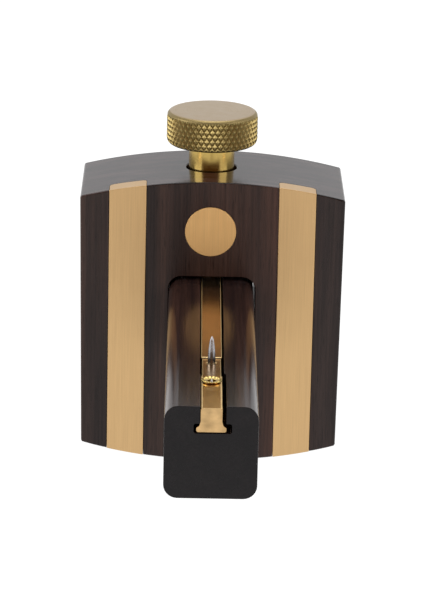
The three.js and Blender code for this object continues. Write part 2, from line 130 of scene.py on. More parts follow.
def solid(name, points, faces):
    """A closed mesh from points in layout millimetres, with its faces turned outward."""
    mesh = bpy.data.meshes.new(name)
    mesh.from_pydata(((np.asarray(points, float) + ORIGIN) * MM).tolist(), [], faces)
    bm = bmesh.new()
    bm.from_mesh(mesh)
    bmesh.ops.remove_doubles(bm, verts=bm.verts, dist=1e-7)
    bmesh.ops.recalc_face_normals(bm, faces=bm.faces)
    bm.to_mesh(mesh)
    bm.free()
    obj = bpy.data.objects.new(name, mesh)
    bpy.context.scene.collection.objects.link(obj)
    return obj


def prism(name, outline, low, high, axis="Y"):
    """An outline carried along Y (drawn in X and Z) or along Z (drawn in X and Y)."""
    count = len(outline)
    ends = [[(a, h, b) if axis == "Y" else (a, b, h) for a, b in outline] for h in (low, high)]
    sides = [(i, (i + 1) % count, count + (i + 1) % count, count + i) for i in range(count)]
    caps = [tuple(range(count)), tuple(range(count, 2 * count))]
    return solid(name, ends[0] + ends[1], sides + caps)


def swept(rows, loop=False, split=None):
    """Points and faces of rings of points joined one to the next. loop joins the last ring to the first, and
    split(i, k) says which way the face after row i and column k is cut in two, or None to leave it whole."""
    rows = np.asarray(rows, float)
    count, columns = rows.shape[:2]
    faces = []
    for i in range(count if loop else count - 1):
        for k in range(columns):
            a, b = i * columns + k, i * columns + (k + 1) % columns
            c, d = ((i + 1) % count) * columns + (k + 1) % columns, ((i + 1) % count) * columns + k
            way = split(i, k) if split else None
            if way is None:
                faces.append((a, b, c, d))
            elif way:
                faces += [(a, b, c), (a, c, d)]
            else:
                faces += [(a, b, d), (b, c, d)]
    return rows.reshape(-1, 3), faces


def rings(radii, heights, columns, place, axis="Z"):
    """Rings about an axis along Z or Y. radii and heights hold a row for each ring, with one value or one for
    each column."""
    angle = np.arange(columns) * 2 * math.pi / columns
    radii = np.broadcast_to(np.asarray(radii, float).reshape(len(radii), -1), (len(radii), columns))
    heights = np.broadcast_to(np.asarray(heights, float).reshape(len(heights), -1), (len(heights), columns))
    across, other = radii * np.cos(angle), radii * np.sin(angle)
    points = [across, other, heights] if axis == "Z" else [across, heights, other]
    return np.stack(points, axis=-1) + np.asarray(place, float)


def turned(name, corners, place, columns=96, axis="Z", tube=False):
    """A profile of [radius, height, rounding] corners turned about an axis through place."""
    path = eased(corners, closed=tube)
    radii, heights = [r for r, _ in path], [h for _, h in path]
    return solid(name, *swept(rings(radii, heights, columns, place, axis), loop=tube))


def rod(name, radius, low, high, place, columns=64, axis="Z"):
    profile = [(0, low, 0), (radius, low, 0), (radius, high, 0), (0, high, 0)]
    return turned(name, profile, place, columns, axis)


def settle(obj):
    """Applies an object's modifiers."""
    graph = bpy.context.evaluated_depsgraph_get()
    mesh = bpy.data.meshes.new_from_object(obj.evaluated_get(graph), depsgraph=graph)
    obj.modifiers.clear()
    obj.data = mesh


def combine(obj, operation, *others):
    """Joins or cuts obj with each of the others, and removes doubled points and needless edges."""
    for other in others:
        step = obj.modifiers.new("combine", "BOOLEAN")
        step.operation, step.solver, step.object = operation, "EXACT", other
        settle(obj)
        bpy.data.objects.remove(other)
    bm = bmesh.new()
    bm.from_mesh(obj.data)
    bmesh.ops.remove_doubles(bm, verts=bm.verts, dist=2e-6)
    bmesh.ops.dissolve_limit(bm, angle_limit=math.radians(0.08), verts=bm.verts, edges=bm.edges)
    bm.to_mesh(obj.data)
    bm.free()
    return obj


def ease(obj, width_at, segments=3):
    """Rounds the sharp edges. width_at gives an edge's width in millimetres from its middle in the layout."""
    bm = bmesh.new()
    bm.from_mesh(obj.data)
    weight = bm.edges.layers.float.get("bevel_weight_edge") or bm.edges.layers.float.new("bevel_weight_edge")
    widths = {}
    for edge in bm.edges:
        if len(edge.link_faces) == 2 and edge.calc_face_angle(0) > math.radians(28):
            at = (edge.verts[0].co + edge.verts[1].co) / 2 / MM - Vector(ORIGIN)
            widths[edge] = width_at(at)
    widest = max(widths.values())
    for edge, width in widths.items():
        edge[weight] = width / widest
    bm.to_mesh(obj.data)
    bm.free()
    step = obj.modifiers.new("ease", "BEVEL")
    step.limit_method, step.width, step.segments = "WEIGHT", widest * MM, segments
    step.use_clamp_overlap = False
    settle(obj)
    return obj


def piece(obj, node, body, slot, *materials, pick=None, crease=32):
    """Makes obj the shown piece of a CAD node. pick chooses a face's material from its normal and middle."""
    bm = bmesh.new()
    bm.from_mesh(obj.data)
    for face in bm.faces:
        face.smooth = True
        if pick:
            at = face.calc_center_median() / MM - Vector(ORIGIN)
            face.material_index = pick(face.normal, at)
    for edge in bm.edges:
        edge.smooth = len(edge.link_faces) == 2 and edge.calc_face_angle(0) < math.radians(crease)
    bm.to_mesh(obj.data)
    bm.free()
    for one in materials:
        obj.data.materials.append(one)
    weighted = obj.modifiers.new("weighted", "WEIGHTED_NORMAL")
    weighted.keep_sharp = True
    settle(obj)
    obj.name = node + "_visual"
    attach(obj, body)
    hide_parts(node)


# ---------------------------------------------------------------- knurls and threads


def valley(t):
    """1 along the bottom of a groove, at whole numbers, and 0 half way between two grooves."""
    return 2 * np.abs(t - np.floor(t) - 0.5)


def knurled(name, corners, band, count, lead, depth, crest, place, axis="Z"):
    """A turned piece with a diamond knurl of count grooves each way, cut into the band from low to high.
    lead is the height over which a groove passes one diamond, and crest the share of a diamond left flat."""
    cells = 10
    columns = count * cells
    path = np.array(eased(corners))
    low, high = band
    widest = path[:, 0].max()
    levels = np.arange(low, high + 1e-6, lead / cells)
    start = next(i for i in range(1, len(path)) if path[i, 0] > 0.6 * widest and path[i, 1] >= low)
    stop = max(i for i in range(len(path)) if path[i, 0] > 0.6 * widest and path[i, 1] <= high)
    wall = path[start - 1 : stop + 2]
    outer = np.interp(levels, wall[:, 1], wall[:, 0])
    turn = np.arange(columns) / cells
    lift = (levels - low)[:, None] / lead
    pit = np.maximum(valley(turn + lift), valley(turn - lift))
    cut = widest - depth * np.clip((pit - crest) / (1 - crest), 0, 1)
    below, above = path[:start], path[stop + 1 :]
    radii = np.concatenate(
        [
            np.repeat(below[:, :1], columns, 1),
            np.minimum(outer[:, None], cut),
            np.repeat(above[:, :1], columns, 1),
        ]
    )
    heights = np.concatenate([below[:, 1], levels, above[:, 1]])
    first = len(below)

    def split(i, k):
        if not first <= i < first + len(levels) - 1:
            return None
        across = np.array((k + 0.5) / cells)
        rise = (i - first + 0.5) / cells
        return bool(valley(across + rise) < valley(across - rise))

    return solid(name, *swept(rings(radii, heights, columns, place, axis), split=split))


def threaded(name, radius, pitch, depth, thread, ends, place, axis="Z"):
    """A rod from ends[0] to ends[1] with a right-handed thread cut into it from thread[0] to thread[1]."""
    columns, cells, chamfer = 36, 6, 0.25
    levels = np.arange(thread[0], thread[1], pitch / cells)
    turn = np.arange(columns) / columns * (1 if axis == "Z" else -1)
    run = np.clip(np.minimum(levels - thread[0], thread[1] - levels) / pitch, 0, 1)[:, None]
    groove = np.clip(valley(levels[:, None] / pitch - turn) * 1.25 - 0.15, 0, 1)
    point = np.repeat([[0], [radius - chamfer], [radius]], columns, 1)
    radii = np.concatenate([point, radius - depth * groove * run, point[::-1]])
    heights = [ends[0], ends[0], ends[0] + chamfer, *levels, ends[1] - chamfer, ends[1], ends[1]]
    return solid(name, *swept(rings(radii, heights, columns, place, axis)))


# ---------------------------------------------------------------- materials


def shader(name, color, roughness, metallic, ior=1.45):
    """A new material and its shader."""
    made = bpy.data.materials.new(name)
    made.use_nodes = True
    principled = made.node_tree.nodes["Principled BSDF"]
    principled.inputs["Base Color"].default_value = (*color, 1)
    principled.inputs["Roughness"].default_value = roughness
    principled.inputs["Metallic"].default_value = metallic
    principled.inputs["IOR"].default_value = ior
    return made, principled


def noise(made, size, detail=4.0, shift=(0, 0, 0), distortion=0.0):
    """Noise in the object's own space with features of about size millimetres along X, Y and Z."""
    tree = made.node_tree
    where = tree.nodes.new("ShaderNodeTexCoord")
    scaled = tree.nodes.new("ShaderNodeMapping")
    scaled.inputs["Scale"].default_value = [1 / (s * MM) for s in size]
    scaled.inputs["Location"].default_value = shift
    texture = tree.nodes.new("ShaderNodeTexNoise")
    texture.inputs["Scale"].default_value = 1
    texture.inputs["Detail"].default_value = detail
    texture.inputs["Distortion"].default_value = distortion
    tree.links.new(where.outputs["Object"], scaled.inputs["Vector"])
    tree.links.new(scaled.outputs["Vector"], texture.inputs["Vector"])
    return texture.outputs["Fac"]


def ramp(made, factor, stops):
    """Colours or greys at places from 0 to 1, in a material or the world."""
    node = made.node_tree.nodes.new("ShaderNodeValToRGB")
    while len(node.color_ramp.elements) < len(stops):
        node.color_ramp.elements.new(0.5)
    for element, (place, value) in zip(node.color_ramp.elements, stops):
        element.position = place
        element.color = (*value, 1) if isinstance(value, tuple) else (value, value, value, 1)
    made.node_tree.links.new(factor, node.inputs["Fac"])
    return node.outputs["Color"]


def multiply(made, one, other):
    """One colour times another."""
    node = made.node_tree.nodes.new("ShaderNodeMix")
    node.data_type, node.blend_type = "RGBA", "MULTIPLY"
    node.inputs["Factor"].default_value = 1
    made.node_tree.links.new(one, node.inputs["A"])
    made.node_tree.links.new(other, node.inputs["B"])
    return node.outputs["Result"]


def bump(made, height, distance, strength=1.0):
    """Fine relief, distance millimetres deep."""
    node = made.node_tree.nodes.new("ShaderNodeBump")
    node.inputs["Strength"].default_value = strength
    node.inputs["Distance"].default_value = distance * MM
    made.node_tree.links.new(height, node.inputs["Height"])
    return node.outputs["Normal"]


def wood(name, along, dark, light, roughness, end_grain=False, figure=None):
    """Near-black hardwood. along is the axis that the grain runs along, and figure lists places across X in
    millimetres with the tint of the wood there."""
    made, principled = shader(name, dark, roughness, 0, ior=1.31)
    reach = half_span("fence_body", "X")

    def sized(across, length):
        return [length if axis == along else across for axis in "XYZ"]

    if end_grain:
        bands = ramp(made, noise(made, (18, 1.5, 18), 3, distortion=0.8), [(0.40, dark), (0.62, light)])
        fine = ramp(made, noise(made, (7, 0.4, 7), 5), [(0.34, 0.3), (0.62, 1.0)])
    else:
        bands = ramp(made, noise(made, sized(4.5, 160), 3, distortion=0.6), [(0.35, dark), (0.72, light)])
        fine = ramp(made, noise(made, sized(0.55, 26), 5), [(0.3, 0.62), (0.65, 1.08)])
    pores = ramp(made, noise(made, sized(0.22, 5), 2, shift=(7, 3, 5)), [(0.30, 0.45), (0.42, 1.0)])
    color = multiply(made, multiply(made, bands, fine), pores)
    if figure:
        where = made.node_tree.nodes.new("ShaderNodeTexCoord")
        parts = made.node_tree.nodes.new("ShaderNodeSeparateXYZ")
        across = made.node_tree.nodes.new("ShaderNodeMapRange")
        across.inputs["From Min"].default_value = -reach * MM
        across.inputs["From Max"].default_value = reach * MM
        made.node_tree.links.new(where.outputs["Object"], parts.inputs["Vector"])
        made.node_tree.links.new(parts.outputs["X"], across.inputs["Value"])
        stops = [((x + reach) / (2 * reach), value) for x, value in figure]
        tint = ramp(made, across.outputs["Result"], stops)
        color = multiply(made, color, tint)
    made.node_tree.links.new(color, principled.inputs["Base Color"])
    relief = noise(made, sized(0.3, 9) if not end_grain else (7, 0.25, 7), 4)
    made.node_tree.links.new(bump(made, relief, 0.02, 0.5), principled.inputs["Normal"])
    shine = ramp(made, noise(made, sized(0.8, 20), 3), [(0.3, roughness * 0.85), (0.7, roughness * 1.2)])
    made.node_tree.links.new(shine, principled.inputs["Roughness"])
    return made


def metal(name, color, roughness, lines, relief, tint=0.06, steps=(0.9, 1.12), brushed=0.0):
    """Metal whose fine machining marks are lines of that size in millimetres along X, Y and Z, cut to a depth
    of relief. tint and steps are how much its colour and roughness vary, and brushed is how much wider its
    gloss spreads across upright brushing than along it."""
    made, principled = shader(name, color, roughness, 1)
    if brushed:
        principled.inputs["Anisotropic"].default_value = brushed
        tangent = made.node_tree.nodes.new("ShaderNodeTangent")
        tangent.direction_type, tangent.axis = "RADIAL", "Z"
        made.node_tree.links.new(tangent.outputs["Tangent"], principled.inputs["Tangent"])
    marks = noise(made, lines, 4)
    deep, pale = tuple(c * (1 - tint) for c in color), tuple(min(1, c * (1 + tint)) for c in color)
    made.node_tree.links.new(ramp(made, marks, [(0.3, deep), (0.7, pale)]), principled.inputs["Base Color"])
    worn = noise(made, (3, 3, 3), 3)
    shine = ramp(made, worn, [(0.3, roughness * steps[0]), (0.7, roughness * steps[1])])
    made.node_tree.links.new(shine, principled.inputs["Roughness"])
    made.node_tree.links.new(bump(made, marks, relief), principled.inputs["Normal"])
    return made


def turned_metal(name, color, roughness, centre, axis, relief):
    """Metal with fine turning marks round an axis through centre, a point of the layout."""
    made, principled = shader(name, color, roughness, 1)
    tree = made.node_tree
    where = tree.nodes.new("ShaderNodeTexCoord")
    moved = tree.nodes.new("ShaderNodeMapping")
    moved.inputs["Location"].default_value = [-(c + o) * MM for c, o in zip(centre, ORIGIN)]
    flat = tree.nodes.new("ShaderNodeVectorMath")
    flat.operation = "MULTIPLY"
    flat.inputs[1].default_value = [0 if a == axis else 1 for a in "XYZ"]
    radius = tree.nodes.new("ShaderNodeVectorMath")
    radius.operation = "LENGTH"
    texture = tree.nodes.new("ShaderNodeTexNoise")
    texture.noise_dimensions = "1D"
    texture.inputs["Scale"].default_value = 1 / (0.28 * MM)
    texture.inputs["Detail"].default_value = 4
    tree.links.new(where.outputs["Object"], moved.inputs["Vector"])
    tree.links.new(moved.outputs["Vector"], flat.inputs[0])
    tree.links.new(flat.outputs["Vector"], radius.inputs[0])
    tree.links.new(radius.outputs["Value"], texture.inputs["W"])
    marks = texture.outputs["Fac"]
    deep, pale = tuple(c * 0.94 for c in color), tuple(min(1, c * 1.06) for c in color)
    tree.links.new(ramp(made, marks, [(0.3, deep), (0.7, pale)]), principled.inputs["Base Color"])
    worn = noise(made, (2.5, 2.5, 2.5), 3)
    shine = ramp(made, worn, [(0.3, roughness * 0.93), (0.7, roughness * 1.12)])
    tree.links.new(shine, principled.inputs["Roughness"])
    tree.links.new(bump(made, marks, relief), principled.inputs["Normal"])
    return made


EBONY_DARK, EBONY_BROWN = (0.022, 0.0130, 0.0115), (0.062, 0.033, 0.025)
FIGURE = [
    (-30, (0.88, 0.92, 0.95)),
    (-13, 0.85),
    (5, 0.9),
    (12, (0.95, 0.88, 0.85)),
    (18, (1.2, 0.97, 0.85)),
    (28, (0.62, 0.72, 0.82)),
]
fence_wood = wood("ebony_fence", "Z", EBONY_DARK, EBONY_BROWN, 0.28, figure=FIGURE)
fence_end_grain = wood(
    "ebony_fence_end_grain", "Z", (0.014, 0.009, 0.009), (0.058, 0.037, 0.036), 0.14, end_grain=True
)
stem_wood = wood("ebony_stem", "Y", (0.009, 0.0055, 0.0065), (0.041, 0.020, 0.015), 0.19)
stem_end_grain = wood("ebony_stem_end_grain", "Y", (0.005, 0.004, 0.005), (0.009, 0.007, 0.008), 0.3)
BRUSHING = (0.22, 0.22, 14)
EVEN = (0.97, 1.04)
strip_brass = metal(
    "brass_wear_strips", (0.568, 0.376, 0.182), 0.345, BRUSHING, 0.0012, steps=EVEN, brushed=0.3
)
nut_brass = metal("brass_barrel_nut", (0.71, 0.448, 0.192), 0.58, BRUSHING, 0.0012, steps=EVEN, brushed=0.8)
plate_brass = metal("brass_end_plate", (0.43, 0.28, 0.13), 0.34, (14, 0.22, 0.22), 0.0012)
knob_brass = turned_metal("brass_thumbscrew", (0.42, 0.29, 0.085), 0.26, CLAMP, "Z", 0.0010)
collar_brass = turned_metal("brass_collar", (0.49, 0.345, 0.105), 0.2, CLAMP, "Z", 0.0010)
rim_brass = turned_metal("brass_thumbscrew_rim", (0.27, 0.205, 0.09), 0.4, CLAMP, "Z", 0.0010)
knob_top_brass = turned_metal("brass_thumbscrew_top", (0.41, 0.315, 0.20), 0.34, CLAMP, "Z", 0.0012)
knurl_brass = turned_metal("brass_knurl", (0.285, 0.22, 0.088), 0.43, CLAMP, "Z", 0.0004)
rear_brass = turned_metal("brass_adjusting_knob", (0.36, 0.25, 0.095), 0.28, ADJUSTER, "Y", 0.0015)
# Paler, rougher brass for the eased edges of the slide and the front block: its pale colour is a painted
# highlight.
edge_highlight_brass = metal("brass_painted_edge_highlight", (0.80, 0.60, 0.30), 0.6, (0.3, 3, 0.3), 0.0010)
slide_brass = metal("brass_slide", (0.365, 0.245, 0.122), 0.24, (0.3, 18, 0.3), 0.0010)
block_brass = metal("brass_front_block", (0.61, 0.365, 0.115), 0.2, (0.3, 9, 0.3), 0.0010)
block_end_brass = metal(
    "brass_front_block_end", (0.540, 0.361, 0.170), 0.34, (3.6, 3.0, 2.6), 0.0080, tint=0.28
)
bush_brass = metal("brass_bush", (0.62, 0.46, 0.16), 0.2, (0.5, 0.5, 0.5), 0.0010)
screw_brass = metal("brass_wood_screws", (0.40, 0.28, 0.11), 0.25, (0.4, 0.4, 0.4), 0.0010)
steel = metal("steel_pins", (0.34, 0.34, 0.355), 0.26, (0.25, 0.25, 4), 0.0008, tint=0.04)
dark_steel = metal("steel_screws", (0.33, 0.33, 0.34), 0.3, (0.3, 0.3, 0.3), 0.0010, tint=0.05)

# ---------------------------------------------------------------- fence

# Half the width, the height of the corners and the height of the crown, at the top and at the bottom.
TOP = (33.0, 32.35, 36.4)
BOTTOM = (32.3, -32.45, FLOOR)
STRIP_INNER, STRIP_OUTER = span("wear_strip_right", "X")
STRIP_DEPTH = span("wear_strip_right", "Y")[1]
STRIP_EASE, STRIP_BACK, STRIP_GAP = 0.13, 1.2, 0.05
CUT_REACH = 40
NUT_RADIUS, NUT_LENGTH = 6.37, span("barrel_nut", "Y")[1]
NUT_PLACE = (CLAMP[0], 0, middle("barrel_nut", "Z"))
BORE_RADIUS, BORE_DEPTH = 6.43, 24.3
CLAMP_HOLE_RADIUS = 6.35


def fence_blank():
    below, above = np.linspace(-BOTTOM[0], BOTTOM[0], 60), np.linspace(TOP[0], -TOP[0], 60)
    outline = [(x, crown(x, *BOTTOM)) for x in below] + [(x, crown(x, *TOP)) for x in above]
    return prism("fence", outline, 0, THICKNESS)


def strip(side):
    """A wear strip: upright slices between the crowned bottom and top, with eased edges and a round back."""
    front_corner = STRIP_EASE * (1 - np.cos(np.radians([0, 30, 60, 90])))
    back_corner = STRIP_BACK * (1 - np.cos(np.radians([30, 45, 60, 75, 90])))
    corner = np.concatenate([front_corner, back_corner])
    between = np.linspace(STRIP_INNER + STRIP_BACK, STRIP_OUTER - STRIP_BACK, 9)[1:-1]
    across = np.concatenate([STRIP_INNER + corner, between, STRIP_OUTER - corner[::-1]])
    slices = []
    for x, low, high in zip(across, crown(across, *BOTTOM), crown(across, *TOP)):
        side_on = min(x - STRIP_INNER, STRIP_OUTER - x)
        front = STRIP_EASE - math.sqrt(max(0, STRIP_EASE**2 - max(0, STRIP_EASE - side_on) ** 2))
        back = STRIP_DEPTH - STRIP_BACK + math.sqrt(max(0, STRIP_BACK**2 - max(0, STRIP_BACK - side_on) ** 2))
        radius = max(STRIP_EASE - front, 1e-6)
        corners = [(front, low + front), (front, high - front), (back, high - front), (back, low + front)]
        slices.append([(x * side, y, z) for y, z in eased([(y, z, radius) for y, z in corners], closed=True)])
    points, faces = swept(slices)
    count = len(slices[0])
    caps = [tuple(range(count)), tuple(range(len(points) - count, len(points)))]
    return solid("strip", points, faces + caps)


def recess(side):
    """The cutter of a wear strip's place in the fence, which is STRIP_GAP larger than the strip."""
    inner, outer = STRIP_INNER - STRIP_GAP, STRIP_OUTER + STRIP_GAP
    front, back = -STRIP_GAP, STRIP_DEPTH + STRIP_GAP
    corners = [(inner, front, 0), (outer, front, 0), (outer, back, STRIP_BACK), (inner, back, STRIP_BACK)]
    plan = [(side * x, y) for x, y in eased(corners, closed=True)]
    return prism("recess", plan, -CUT_REACH, CUT_REACH, axis="Z")


def clamp_hole():
    """The cutter of the clamping screw's hole, from inside the mortise to the crown, where it flares."""
    flare = [(CLAMP_HOLE_RADIUS, -0.36), (6.38, -0.2), (6.46, -0.09), (6.58, -0.02), (6.9, 0.08), (7.6, 1)]
    columns = 96
    angle = np.arange(columns) * 2 * math.pi / columns
    radii = np.array([0, CLAMP_HOLE_RADIUS] + [radius for radius, _ in flare] + [0])[:, None]
    above_top = np.array([0, 0] + [rise for _, rise in flare] + [1])[:, None]
    across, along = CLAMP[0] + radii * np.cos(angle), CLAMP[1] + radii * np.sin(angle)
    heights = crown(across, *TOP) + above_top
    heights[:2] = 0
    return solid("clamp_hole", *swept(np.stack([across, along, heights], axis=-1)))


def fence_edge(at):
    """Widest on the fence's outer corners, narrow round its openings, and nothing on edges inside it."""
    x, y, z = at
    outside = y < 0.01 or y > THICKNESS - 0.01
    if abs(x) < 10 and 1 < y < THICKNESS - 1 and z < 31:
        return 0
    if abs(x) > 31.5:
        return 0.5
    if STRIP_INNER - 0.2 < abs(x) < STRIP_OUTER + 0.2 and y < STRIP_DEPTH + 0.2:
        return 0.06 if y < 1 else 0
    if outside and (z > 31 or z < -31):
        return 0.4
    return 0.14


MORTISE = [(11.15, -11.3, 3.2), (11.15, 12.0, 3.5), (-10.74, 12.0, 3.2), (-10.74, -11.3, 3.2)]
fence_body = combine(
    fence_blank(),
    "DIFFERENCE",
    prism("mortise", eased(MORTISE, closed=True), -1, THICKNESS + 1),
    recess(-1),
    recess(1),
    rod("bore", BORE_RADIUS, -1, BORE_DEPTH, NUT_PLACE, 96, "Y"),
    clamp_hole(),
)
piece(
    ease(fence_body, fence_edge),
    "fence_body",
    "fence",
    "ebony",
    fence_wood,
    fence_end_grain,
    pick=lambda normal, at: int(abs(normal.z) > 0.6 and (at.z > 30 or at.z < -30)),
)

for side, node in ((-1, "wear_strip_left"), (1, "wear_strip_right")):
    piece(strip(side), node, "fence", "satin_brass", strip_brass)

barrel_profile = [(0, 0, 0), (NUT_RADIUS, 0, 0.14), (NUT_RADIUS, NUT_LENGTH, 0.3), (0, NUT_LENGTH, 0)]
barrel = turned("barrel", barrel_profile, NUT_PLACE, 128, "Y")
combine(barrel, "DIFFERENCE", rod("thread", 3.15, 10, 40, CLAMP, 48))
piece(barrel, "barrel_nut", "fence", "satin_brass", nut_brass)

# ---------------------------------------------------------------- clamp

KNOB_RADIUS = half_span("thumbscrew_knob", "X")
KNOB_BOTTOM, KNOB_TOP = span("thumbscrew_knob", "Z")
KNURL_TOP = KNOB_TOP - 0.95
COLLAR_RADIUS = half_span("thumbscrew_collar", "X")
COLLAR_BOTTOM, COLLAR_TOP = span("thumbscrew_collar", "Z")[0], 42.47
PAD_RADIUS = half_span("pressure_pad", "X")
PAD_BOTTOM, PAD_TOP = span("pressure_pad", "Z")
STUD_HOLE = 3.3
knob = knurled(
    "knob",
    [
        (0, 48.75, 0),
        (STUD_HOLE, 48.75, 0),
        (STUD_HOLE, KNOB_BOTTOM, 0.2),
        (KNOB_RADIUS, KNOB_BOTTOM, 1.5),
        (KNOB_RADIUS, KNOB_TOP, 1.35),
        (0, KNOB_TOP, 0),
    ],
    (KNOB_BOTTOM + 0.5, KNURL_TOP),
    count=50,
    lead=2.4,
    depth=0.41,
    crest=0.28,
    place=CLAMP,
)


def knob_finish(normal, at):
    """The knurl's material below its top, the rim's on the round edge and the top's on the flat."""
    if at.z <= KNURL_TOP:
        return 0
    return 1 if normal.z > 0.93 else 2


piece(
    knob,
    "thumbscrew_knob",
    "thumbscrew",
    "turned_brass",
    knurl_brass,
    knob_top_brass,
    rim_brass,
    pick=knob_finish,
    crease=24,
)

collar = turned(
    "collar",
    [
        (STUD_HOLE, COLLAR_BOTTOM, 0.2),
        (COLLAR_RADIUS, COLLAR_BOTTOM, 0.2),
        (COLLAR_RADIUS, COLLAR_TOP, 0.15),
        (STUD_HOLE, COLLAR_TOP, 0.15),
    ],
    CLAMP,
    128,
    tube=True,
)
piece(collar, "thumbscrew_collar", "thumbscrew", "turned_brass", collar_brass)

stud = threaded("stud", 3.0, 1.0, 0.5, (15.4, 42.5), (14.85, 48.6), CLAMP)
tip = turned("tip", [(0, 13.3, 0), (1.7, 13.3, 0.4), (1.7, 15.2, 0), (0, 15.2, 0)], CLAMP, 36)
piece(combine(stud, "UNION", tip), "thumbscrew_stud", "thumbscrew", "steel", dark_steel)

pad = turned(
    "pad",
    [
        (0, PAD_BOTTOM, 0),
        (PAD_RADIUS, PAD_BOTTOM, 0.35),
        (PAD_RADIUS, PAD_TOP, 0.3),
        (2.0, PAD_TOP, 0.15),
        (2.0, 13.0, 0),
        (0, 13.0, 0),
    ],
    CLAMP,
)
piece(pad, "pressure_pad", "clamp_pad", "turned_brass", knob_brass)

# ---------------------------------------------------------------- stem

HALF_WIDTH, HALF_HEIGHT, EDGE = half_span("stem", "X"), half_span("stem", "Z"), 3.2
STEM_FRONT, STEM_REAR = span("stem", "Y")
BLOCK_REAR = span("front_block", "Y")[1]
PIN_Y, FRONT_PIN_Y = middle("slide_pin", "Y"), middle("front_pin", "Y")
PLATE_FRONT, PLATE_REAR = span("end_plate", "Y")
PLATE_SCREW = middle("end_plate_screw_right", "X")
SLOT_FLOOR, SLOT_FOOT_TOP = 4.6, 6.85
FOOT_TOP, BRASS_TOP = 5.95, span("slide_bar", "Z")[1]

# The height that the cuts in the top of the stem and its brass run up to.
ABOVE = 12


def slot_cutters(shift, corner, front, rear):
    """The T-slot's cutters between front and rear, moved and widened to the right by shift, with the foot's
    corners rounded by corner."""
    neck = rectangle(-2.7 + shift / 4, 2.87 + shift, SLOT_FLOOR, ABOVE)
    foot = rectangle(-4.2 + shift / 2, 4.4 + shift / 2, SLOT_FLOOR, SLOT_FOOT_TOP)
    foot = eased([(x, z, corner) for x, z in foot], closed=True)
    return [prism("neck", neck, front, rear), prism("foot", foot, front, rear)]


def stem_edge(at):
    """Wider on the stem's ends, and nothing at the step in the T-slot."""
    x, y, z = at
    if abs(y - BLOCK_REAR + 0.25) < 0.4:
        return 0
    if y < STEM_FRONT + 0.01 or y > STEM_REAR - 0.01:
        return 0.18 if abs(x) > 5 or z < 4 else 0.1
    return 0.14


stem = combine(
    prism("stem", rounded_rectangle(HALF_WIDTH, -HALF_HEIGHT, HALF_HEIGHT, EDGE), STEM_FRONT, STEM_REAR),
    "DIFFERENCE",
    *slot_cutters(0, 0, BLOCK_REAR - 0.5, STEM_REAR + 1),
    *slot_cutters(0.45, 0.5, STEM_FRONT - 1, BLOCK_REAR),
    prism("nut_slot", rectangle(-2.8, 2.8, -3.9, 6), 71, STEM_REAR + 1),
    rod("pin_hole", 0.98, -3, 5.6, (0, FRONT_PIN_Y, 0), 32),
    rod("screw_hole", 1.3, 106, STEM_REAR + 1, (-PLATE_SCREW, 0, 0), 32, "Y"),
    rod("screw_hole", 1.3, 106, STEM_REAR + 1, (PLATE_SCREW, 0, 0), 32, "Y"),
)
piece(
    ease(stem, stem_edge),
    "stem",
    "stem",
    "ebony",
    stem_wood,
    stem_end_grain,
    pick=lambda normal, at: int(abs(normal.y) > 0.7),
)


def brass_section(neck, edge=0.25):
    """Section of the slide and the front block: an eased neck that flares into a rounded foot."""
    foot = [(3.4, 4.85, 0.5), (3.4, FOOT_TOP, 0.35)]
    half = foot + [(neck + 0.3, 6.35, 0.6), (neck, 7.3, 1.0), (neck, BRASS_TOP, edge)]
    mirrored = [(-x, z, radius) for x, z, radius in reversed(half)]
    return eased(half + mirrored, closed=True)


def painted_highlight_edge(normal, at):
    """1, the painted highlight's paler brass, on the eased long edges and the top's lip, and 0 elsewhere."""
    across = abs(normal.x) > 0.2 or (normal.y < -0.2 and normal.z > 0.6 and at.z > 10.2)
    return int(at.z > 9.9 and 0.3 < normal.z < 0.97 and across)


block = combine(
    prism("block", brass_section(2.46, 0.5), STEM_FRONT, BLOCK_REAR),
    "DIFFERENCE",
    rod("bush_hole", 1.8, 3, ABOVE, (0, FRONT_PIN_Y, 0), 48),
)
piece(
    ease(block, lambda at: 0.12, 2),
    "front_block",
    "stem",
    "polished_brass",
    block_brass,
    edge_highlight_brass,
    block_end_brass,
    # The front block's eased edges get the paler brass of the painted highlight.
    pick=lambda normal, at: 2 if normal.y < -0.9 else painted_highlight_edge(normal, at),
)


def notched_bush():
    """A bush whose dished rim is cut by a ring of small notches for turning it."""
    notches, cells, notch_floor = 16, 8, 10.82
    path = eased(
        [
            (0.98, 5.2, 0),
            (1.55, 5.2, 0.1),
            (1.55, 10.62, 0),
            (2.15, 10.62, 0.05),
            (2.36, 10.8, 0.05),
            (2.36, 11.1, 0.12),
            (1.9, 11.1, 0.1),
            (1.5, 10.85, 0.2),
            (0.98, 10.78, 0.05),
        ],
        closed=True,
    )
    radii, levels = np.array([r for r, _ in path]), np.array([h for _, h in path])
    turn = np.arange(notches * cells) / cells
    notch = np.clip(1.6 - 4.5 * (1 - valley(turn)), 0, 1)
    rim = (radii > 1.65) & (levels > notch_floor)
    heights = levels[:, None] - np.where(rim, (levels - notch_floor) * 0.85, 0)[:, None] * notch
    return solid("bush", *swept(rings(radii, heights, notches * cells, (0, FRONT_PIN_Y, 0)), loop=True))


piece(notched_bush(), "front_pin_bush", "front_bush", "polished_brass", bush_brass, crease=40)

front_pin = turned(
    "front_pin",
    [(0, -2, 0), (0.68, -2, 0.1), (0.6, 9.7, 0.2), (0.06, 11.15, 0.04), (0, 11.2, 0)],
    (0, FRONT_PIN_Y, 0),
    48,
)
piece(front_pin, "front_pin", "front_pin", "steel", dark_steel)

# ---------------------------------------------------------------- slide

SLIDE_FRONT, SLIDE_REAR = span("slide_bar", "Y")
STEP_FRONT, STEP_REAR = -59.42, -59.15
STEP = 0.4
TONGUE_TOP = BRASS_TOP - STEP
NUT_MIDDLE = middle("slide_nut_screw", "Y")
NUT_SCREW_TOP = 10.46
bar = brass_section(2.44)


